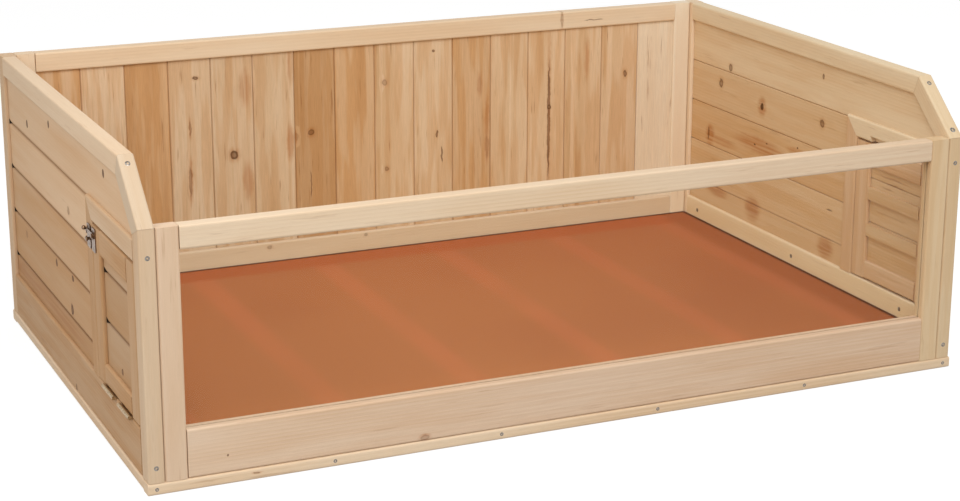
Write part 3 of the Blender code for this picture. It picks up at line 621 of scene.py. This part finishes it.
LEFT_KNOTS = [
    Knot(0.237, 0.348, 0.0050, 0.0060, 0.9, 0.0),
    Knot(0.094, 0.378, 0.0050, 0.0060, 0.85, 0.0),
    Knot(-0.212, 0.379, 0.0050, 0.0060, 0.9, 0.0),
    Knot(-0.002, 0.276, 0.0060, 0.0060, 0.5, 0.3),
    Knot(0.089, 0.175, 0.0050, 0.0060, 0.75, 0.0),
    Knot(-0.008, 0.179, 0.0060, 0.0050, 0.8, 0.0),
    Knot(0.005, 0.129, 0.0070, 0.0080, 0.95, 0.3),
    Knot(0.284, 0.167, 0.0060, 0.0060, 0.3, 0.2),
    # Broad warm patch along the left wall's lowest board: painted shade, part of its darkening towards the
    # bottom
    Knot(0.200, 0.097, 0.1700, 0.0120, 0.0, 0.7),
]
LEFT_DOOR_KNOTS = [Knot(-0.265, 0.125, 0.0040, 0.0050, 0.8, 0.2)]
RIGHT_DOOR_KNOTS = [
    Knot(-0.248, 0.254, 0.0300, 0.0010, 0.3, 0.5),
    Knot(-0.257, 0.245, 0.0200, 0.0010, 0.35, 0.5),
    Knot(-0.236, 0.237, 0.0140, 0.0009, 0.35, 0.4),
    Knot(-0.255, 0.196, 0.0300, 0.0012, 0.12, 0.4),
]
RAIL_KNOTS = {
    "back_top_rail": [
        Knot(0.340, 0.413, 0.0020, 0.0140, 0.4, 0.5),
        Knot(0.400, 0.409, 0.0180, 0.0008, 0.8, 0.1),
    ],
    "front_bottom_rail": [
        Knot(-0.505, 0.039, 0.0014, 0.0014, 0.9, 0.1),
        Knot(-0.232, 0.020, 0.0065, 0.0034, 0.35, 1.0),
        Knot(0.200, 0.045, 0.3500, 0.0600, 0.0, 0.22),
    ],
    "front_top_rail": [Knot(0.480, 0.335, 0.2200, 0.0600, 0.0, 0.26)],
    "left_bottom_rail": [Knot(-0.019, 0.021, 0.0040, 0.0060, 0.7, 0.3)],
    "base_front_rim": [Knot(-0.467, 0.010, 0.0050, 0.0012, 0.5, 0.6)],
    "back_bottom_rail": [
        Knot(-0.190, 0.074, 0.0040, 0.0030, 0.35, 0.4),
        Knot(-0.022, 0.075, 0.0030, 0.0030, 0.45, 0.3),
    ],
}

# Looks of the frame timber in each wall, and of single pieces that differ; those of the left wall hold
# painted shade
WALL_LOOKS = {
    "front": Look(0.03, 0.938, 0.38, FRONT_TINT),
    "back": Look(-0.10, 0.98, 0.28),
    # The left wall's frame is darker and warmer: painted shade
    "left": Look(0.78, 0.80, 0.35),
    "right_door": Look(0.50, 0.95),
    "right": Look(-0.05, 1.02),
    "base": Look(0.02, 0.985),
    "floor": Look(0.18, 0.96),
}
PIECE_LOOKS = {
    # The left pieces below are darker, and the low ones warmer: painted shade, most towards the bottom of
    # the wall
    "left_front_post": Look(0.20, 0.86, 0.35),
    "left_slope_rail": Look(-0.08, 0.79, 0.30),
    "left_top_rail": Look(0.10, 0.95, 0.28),
    "left_rear_post": Look(0.45, 0.88),
    "left_bottom_rail": Look(0.85, 0.78),
    "right_door_lintel": Look(0.02, 0.985, 0.40, RIGHT_TINT),
    "left_door_lintel": Look(0.28, 0.88, 0.25),
    "back_right_stile": Look(-0.40, 1.02, 0.30),
    "back_bottom_rail": Look(0.04, 0.90, 0.30),
    "front_top_rail": Look(-0.06, 0.945, 0.38),
    "front_right_stile": Look(0.36, 0.98, 0.40, RIGHT_TINT),
    "right_front_post": Look(0.40, 0.93, 0.40, RIGHT_TINT),
    "right_slope_rail": Look(0.12, 0.945, 0.40, RIGHT_TINT),
    "right_top_rail": Look(0.06, 0.985, 0.40, RIGHT_TINT),
    "right_bottom_rail": Look(-0.02, 1.03, 0.40, RIGHT_TINT),
}


def dress(node, material):
    slots = frame["nodes"][node].data.materials
    slots.clear()
    slots.append(material)


def grain_axis(node):
    """The letter of a node's longest side."""
    low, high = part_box(node)
    sides = [high[axis] - low[axis] for axis in range(3)]
    return "XYZ"[sides.index(max(sides))]


def dress_boards():
    half = BOARD_PITCH * len(BACK_LOOKS[0]) / 2
    upright = Boards("X", -half, *BACK_LOOKS)
    timber = Timber("back_boards_fir", "Z", BACK_SEED, BACK_TIMBER, upright, BACK_KNOTS)
    dress("back_boards", timber.material)
    walls = (
        ("left", LEFT_SEED, LEFT_TIMBER, LEFT_LOOKS_WITH_SHADE, LEFT_DOOR_LOOKS_WITH_SHADE, LEFT_KNOTS, LEFT_DOOR_KNOTS),
        ("right", RIGHT_SEED, RIGHT_TIMBER, RIGHT_LOOKS, RIGHT_DOOR_LOOKS, RIGHT_KNOTS, RIGHT_DOOR_KNOTS),
    )
    for side, seed, look, wall_looks, door_looks, knots, door_knots in walls:
        node = f"{side}_boards"
        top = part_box(node)[1][2] - BOARD_IN_GROOVE
        level = Boards("Z", top - BOARD_PITCH * len(wall_looks[0]), *wall_looks)
        if side == "left":
            level.shade_ends_at(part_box("left_rear_post")[0][1], middle_of(node, 0))
        dress(node, Timber(node + "_fir", "Y", seed, look, level, knots).material)
        node = f"{side}_door_boards"
        first_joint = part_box(node)[1][2] - DOOR_FIRST_JOINT
        level = Boards("Z", first_joint - BOARD_PITCH * (len(door_looks[0]) - 1), *door_looks)
        if side == "left":
            level.shade_ends_at(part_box("left_door_rear_stile")[0][1], middle_of(node, 0))
        dress(node, Timber(node + "_fir", "Y", seed + DOOR_SEED_STEP, look, level, door_knots).material)


def dress_frame():
    plain = [sub["node"] for sub in frame["record"]["subparts"] if sub["material_slot"] == "frame"]
    for number, node in enumerate(sorted(plain)):
        wall = next(look for start, look in WALL_LOOKS.items() if node.startswith(start))
        warmth = wall.warmth + WARMTH_SPREAD * (number * SPREAD_STEP % 1.0)
        usual = Look(warmth, wall.shade, wall.grain, wall.tint)
        look = PIECE_LOOKS.get(node, usual)
        axis = grain_axis(node)
        tilt = 0.0
        if node.endswith("slope_rail"):
            axis = "Y"
            knee, shoulder = slope_ends(node.split("_")[0])
            tilt = -math.atan2(shoulder.z - knee.z, shoulder.y - knee.y)
        seed = PIECE_SEED_START + PIECE_SEED_STEP * number
        timber = Timber(node + "_fir", axis, seed, look, None, RAIL_KNOTS.get(node, ()), tilt)
        dress(node, timber.material)


def slope_ends(side):
    """The lower and upper end of a side wall's slope, on the middle of its top face."""
    post_low, post_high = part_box(f"{side}_front_post")
    top_low, top_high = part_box(f"{side}_top_rail")
    middle = (post_low[0] + post_high[0]) / 2
    return Vector((middle, post_low[1], post_high[2])), Vector((middle, top_low[1], top_high[2]))


# Floor, window and metal

def dress_floor():
    """Wipe-clean faced sheet with faint bands from front to back, painted shade by the walls and towards
    the right, and a painted shadow in the gap at its edge.
    """
    low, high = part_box("floor_sheet")
    shader = Shader("terracotta_sheet", FLOOR_ROUGHNESS, gloss=FLOOR_GLOSS)
    place = shader.place()
    first, second, _ = shader.apart(place)
    from_side = shader.minus(high[0], shader.math("ABSOLUTE", first))
    from_end = shader.minus(high[1], shader.math("ABSOLUTE", second))
    inset = shader.math("MINIMUM", from_side, from_end)
    count = shader.times(shader.minus(first, BAND_START), 1.0 / BAND_PITCH)
    cloud = shader.noise(place, FLOOR_CLOUD_SCALE)
    band = shader.smooth(shader.math("PINGPONG", count, 0.5), *BAND_EDGE)
    band = shader.times(band, shader.smooth(cloud, *BAND_BY_CLOUD))
    grain = shader.noise(place, *FLOOR_GRAIN)
    colour = shader.mix(band, FLOOR_BROWN, FLOOR_RED)
    # Painted shade towards the right and in a zone by the walls, then a deeper red at random in clouds and
    # grain
    deeper_and_shaded = (
        shader.smooth(first, low[0], high[0], 0.0, SHADE_AT_RIGHT),
        shader.smooth(inset, FLOOR_SHADE_ZONE, 0.0, 0.0, SHADE_AT_EDGE),
        shader.smooth(cloud, *DEEP_BY_CLOUD),
        shader.smooth(grain, *DEEP_BY_GRAIN),
    )
    for share in deeper_and_shaded:
        colour = shader.mix(share, colour, FLOOR_DEEP_RED_AND_SHADE)
    # Painted shade in strips along the ends and sides of the sheet, by the walls
    shade_strip = shader.smooth(from_end, *END_SHADE_STRIP, 0.0, END_SHADE_SHARE)
    colour = shader.mix(shade_strip, colour, FLOOR_END_SHADE)
    shade_strip = shader.smooth(from_side, *SIDE_SHADE_STRIP, 0.0, SIDE_SHADE_SHARE)
    colour = shader.mix(shade_strip, colour, FLOOR_SIDE_SHADE)
    # Painted shadow in the gap between the sheet's edge and the rails
    gap_shadow = shader.smooth(inset, GAP_SHADOW_WIDTH, GAP_SHADOW_WIDTH / 2, 0.0, GAP_SHADOW_SHARE)
    colour = shader.mix(gap_shadow, colour, FLOOR_GAP_SHADOW)
    bounced = shader.node("LightPath").outputs["Is Diffuse Ray"]
    shader.surface(shader.mix(bounced, colour, FLOOR_BOUNCE), "Base Color")
    shader.surface(shader.smooth(grain, *ROUGHNESS_BY_GRAIN), "Roughness")
    shader.bump(grain, *FLOOR_BUMP)
    dress("floor_sheet", shader.material)


def dress_window():
    """Clear sheet with little reflection, which lets light and shadow through."""
    shader = Shader("clear_sheet", CLEAR_ROUGHNESS)
    shader.surface(CLEAR_COLOUR, "Base Color")
    shader.surface(1.0, "Transmission Weight")
    shader.surface(CLEAR_IOR, "IOR")
    clear = shader.node("BsdfTransparent", {"Color": CLEAR_COLOUR})
    path = shader.node("LightPath").outputs
    passing = shader.larger(path["Is Shadow Ray"], path["Is Diffuse Ray"])
    both = shader.node("MixShader", {0: passing, 1: shader.bsdf.outputs[0], 2: clear.outputs[0]})
    shader.put(both.outputs[0], shader.tree.nodes["Material Output"].inputs["Surface"])
    dress("window_sheet", shader.material)


def metal(name, bright, dull, roughness):
    """Plated steel with a faint mottle."""
    shader = Shader(name, roughness, 1.0)
    mottle = shader.noise(shader.place(), *MOTTLE)
    shader.surface(shader.mix(shader.smooth(mottle, *MOTTLE_COLOUR_RANGE), bright, dull), "Base Color")
    uneven = shader.smooth(mottle, *MOTTLE_RANGE, roughness - MOTTLE_SMOOTHER, roughness + MOTTLE_ROUGHER)
    shader.surface(uneven, "Roughness")
    shader.bump(mottle, *MOTTLE_BUMP)
    return shader.material


def dress_fittings():
    finishes = {
        "latch": metal("zinc_plate", *LATCH_ZINC),
        "hinge": metal("brassed_plate", *HINGE_BRASS),
    }
    for sub in frame["record"]["subparts"]:
        if sub["material_slot"] in finishes:
            dress(sub["node"], finishes[sub["material_slot"]])


# Screws

def dome_mesh():
    """Low domed disc. The rim lies at height 0 and the dome faces +Z."""
    bm = bmesh.new()
    rings = []
    for share in SCREW_RINGS:
        height = SCREW_HEAD_RISE * (1.0 - share * share)
        ring = []
        for side in range(SCREW_SIDES):
            angle = 2 * math.pi * side / SCREW_SIDES
            radius = SCREW_HEAD_RADIUS * share
            ring.append(bm.verts.new((radius * math.cos(angle), radius * math.sin(angle), height)))
        rings.append(ring)
    for outer, inner in zip(rings, rings[1:]):
        for side in range(SCREW_SIDES):
            after = (side + 1) % SCREW_SIDES
            bm.faces.new((outer[side], outer[after], inner[after], inner[side]))
    bm.faces.new(rings[-1])
    bm.faces.new(list(reversed(rings[0])))
    return finished_mesh(bm, "screw_head")


def slot_mesh(angle):
    """One arm pair of a cross recess, narrower at its floor."""
    bm = bmesh.new()
    bmesh.ops.create_cube(bm, size=1.0)
    for vertex in bm.verts:
        upper = vertex.co.z > 0
        vertex.co.x *= CROSS_LENGTH * (1.0 if upper else CROSS_TAPER)
        vertex.co.y *= CROSS_WIDTH
        vertex.co.z = 2 * SCREW_HEAD_RISE if upper else SCREW_HEAD_RISE - CROSS_DEPTH
    bmesh.ops.rotate(bm, verts=bm.verts, matrix=Matrix.Rotation(angle, 3, "Z"))
    return finished_mesh(bm, "cross")


def finished_mesh(bm, name):
    mesh = bpy.data.meshes.new(name)
    bm.to_mesh(mesh)
    bm.free()
    return mesh


def add_object(name, data):
    obj = bpy.data.objects.new(name, data)
    bpy.context.scene.collection.objects.link(obj)
    return obj


def screw_head_mesh():
    holder = add_object("screw_head", dome_mesh())
    cutters = [add_object("cross", slot_mesh(angle)) for angle in (0.0, math.pi / 2)]
    for cutter in cutters:
        modifier = holder.modifiers.new("recess", "BOOLEAN")
        modifier.operation = "DIFFERENCE"
        modifier.object = cutter
    bpy.context.view_layer.update()
    head = bpy.data.meshes.new_from_object(holder.evaluated_get(bpy.context.evaluated_depsgraph_get()))
    for helper in [holder, *cutters]:
        bpy.data.objects.remove(helper)
    head.shade_smooth()
    head.set_sharp_from_angle(angle=math.radians(SHARP_EDGE_DEG))
    return head


class Screws:
    """Puts screw heads on the faces of the pen, each riding on a body."""

    def __init__(self):
        self.mesh = screw_head_mesh()
        self.mesh.materials.clear()
        self.mesh.materials.append(metal("screw_steel", *SCREW_STEEL))
        self.count = 0

    def add(self, place, facing, body="frame", size=1.0):
        self.count += 1
        screw = add_object(f"screw_{self.count:02d}", self.mesh)
        turn = Vector(facing).to_track_quat("Z", "Y").to_matrix().to_4x4()
        spin = Matrix.Rotation(self.count * SCREW_TURN_STEP, 4, "Z")
        screw.matrix_world = Matrix.Translation(place) @ turn @ spin @ Matrix.Scale(size, 4)
        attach(screw, body)


def middle_of(node, axis):
    low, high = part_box(node)
    return (low[axis] + high[axis]) / 2


def add_screws():
    screws = Screws()
    front = (0.0, -1.0, 0.0)
    rear = (0.0, 1.0, 0.0)
    rim_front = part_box("base_front_rim")[0][1]
    rim_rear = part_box("base_back_rim")[1][1]
    rim_height = middle_of("base_front_rim", 2)
    joists = [f"floor_joist_{number}" for number in range(1, JOIST_COUNT + 1)]
    for node in [*joists, "base_left_rim", "base_right_rim"]:
        screws.add((middle_of(node, 0), rim_front, rim_height), front, "frame", RIM_SCREW_SCALE)
        screws.add((middle_of(node, 0), rim_rear, rim_height), rear, "frame", RIM_SCREW_SCALE)
    for side, sign in (("left", -1.0), ("right", 1.0)):
        outward = (sign, 0.0, 0.0)
        inward = (-sign, 0.0, 0.0)
        post = f"{side}_front_post"
        for height in FRONT_SCREW_HEIGHTS:
            screws.add((middle_of(post, 0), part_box(post)[0][1], height), front)
        post = f"{side}_rear_post"
        for height in REAR_SCREW_HEIGHTS:
            screws.add((middle_of(post, 0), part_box(post)[1][1], height), rear)
        knee, shoulder = slope_ends(side)
        rise = (shoulder - knee).normalized()
        for share in SLOPE_SCREW_SHARES[side]:
            screws.add(knee.lerp(shoulder, share), (0.0, -rise.z, rise.y), "frame", SLOPE_SCREW_SCALE)
        low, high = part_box(f"{side}_bottom_rail")
        inner, outer = (high[0], low[0]) if sign < 0 else (low[0], high[0])
        for place in RAIL_SCREW_PLACES:
            screws.add((inner, place, RAIL_SCREW_HEIGHT), inward)
        plate_face = outer + sign * LATCH_PLATE_FACE
        for node, body in ((f"{side}_latch_plate", f"{side}_door"), (f"{side}_latch_stud", "frame")):
            low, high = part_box(node)
            for height in (low[2] + LATCH_SCREW_INSET, high[2] - LATCH_SCREW_INSET):
                screws.add((plate_face, middle_of(node, 1), height), outward, body, SMALL_SCREW_SCALE)


# Studio

def add_stage():
    """White ground that keeps the pen's shadow."""
    bm = bmesh.new()
    bmesh.ops.create_grid(bm, x_segments=GROUND_CELLS, y_segments=GROUND_CELLS, size=GROUND_HALF_WIDTH)
    mesh = finished_mesh(bm, "studio_ground")
    ground = add_object("studio_ground", mesh)
    ground.location.z = -GROUND_DROP
    shader = Shader("studio_white", GROUND_ROUGHNESS, gloss=0.0)
    shader.surface((GROUND_COLOUR, GROUND_COLOUR, GROUND_COLOUR, 1.0), "Base Color")
    path = shader.node("LightPath").outputs
    seen = shader.larger(path["Is Camera Ray"], path["Is Glossy Ray"])
    seen = shader.larger(seen, path["Is Transmission Ray"])
    shader.surface((1.0, 1.0, 1.0, 1.0), "Emission Color")
    shader.surface(shader.times(seen, GROUND_GLOW), "Emission Strength")
    mesh.materials.append(shader.material)


def add_sky():
    """Even light from all round, which the camera, metal and glass see as white."""
    world = bpy.data.worlds.new("studio")
    bpy.context.scene.world = world
    world.use_nodes = True
    nodes = world.node_tree.nodes
    links = world.node_tree.links
    path = nodes.new("ShaderNodeLightPath")
    seen = path.outputs["Is Camera Ray"]
    for kind in ("Is Glossy Ray", "Is Transmission Ray"):
        either = nodes.new("ShaderNodeMath")
        either.operation = "MAXIMUM"
        links.new(seen, either.inputs[0])
        links.new(path.outputs[kind], either.inputs[1])
        seen = either.outputs[0]
    level = nodes.new("ShaderNodeMapRange")
    level.inputs["To Min"].default_value = SKY_STRENGTH
    level.inputs["To Max"].default_value = 1.0
    links.new(seen, level.inputs["Value"])
    links.new(level.outputs[0], nodes["Background"].inputs["Strength"])
    nodes["Background"].inputs["Color"].default_value = (1.0, 1.0, 1.0, 1.0)


def add_softbox(name, place, target, size, watts, tint):
    lamp = bpy.data.lights.new(name, "AREA")
    lamp.shape = "SQUARE"
    lamp.size = size
    lamp.energy = watts
    lamp.color = tint
    softbox = add_object(name, lamp)
    softbox.location = place
    aim = Vector(target) - Vector(place)
    softbox.rotation_euler = aim.to_track_quat("-Z", "Y").to_euler()


def add_camera():
    data = bpy.data.cameras.new("camera")
    data.sensor_fit = "HORIZONTAL"
    data.sensor_width = SENSOR_WIDTH_MM
    data.lens = FOCAL_PIXELS / PHOTO_WIDTH * SENSOR_WIDTH_MM
    camera = add_object("camera", data)
    turn = Matrix.Rotation(-math.radians(CAMERA_AZIMUTH_DEG), 4, "Z")
    turn @= Matrix.Rotation(math.radians(90.0 - CAMERA_DIP_DEG), 4, "X")
    turn @= Matrix.Rotation(math.radians(CAMERA_ROLL_DEG), 4, "Z")
    camera.matrix_world = Matrix.Translation(CAMERA_PLACE) @ turn
    bpy.context.scene.camera = camera


def main():
    add_camera()
    dress_frame()
    dress_boards()
    dress_floor()
    dress_window()
    dress_fittings()
    add_screws()
    add_stage()
    add_sky()
    for softbox in SOFTBOXES:
        add_softbox(*softbox)
    bpy.context.scene.view_settings.view_transform = "Standard"


main()
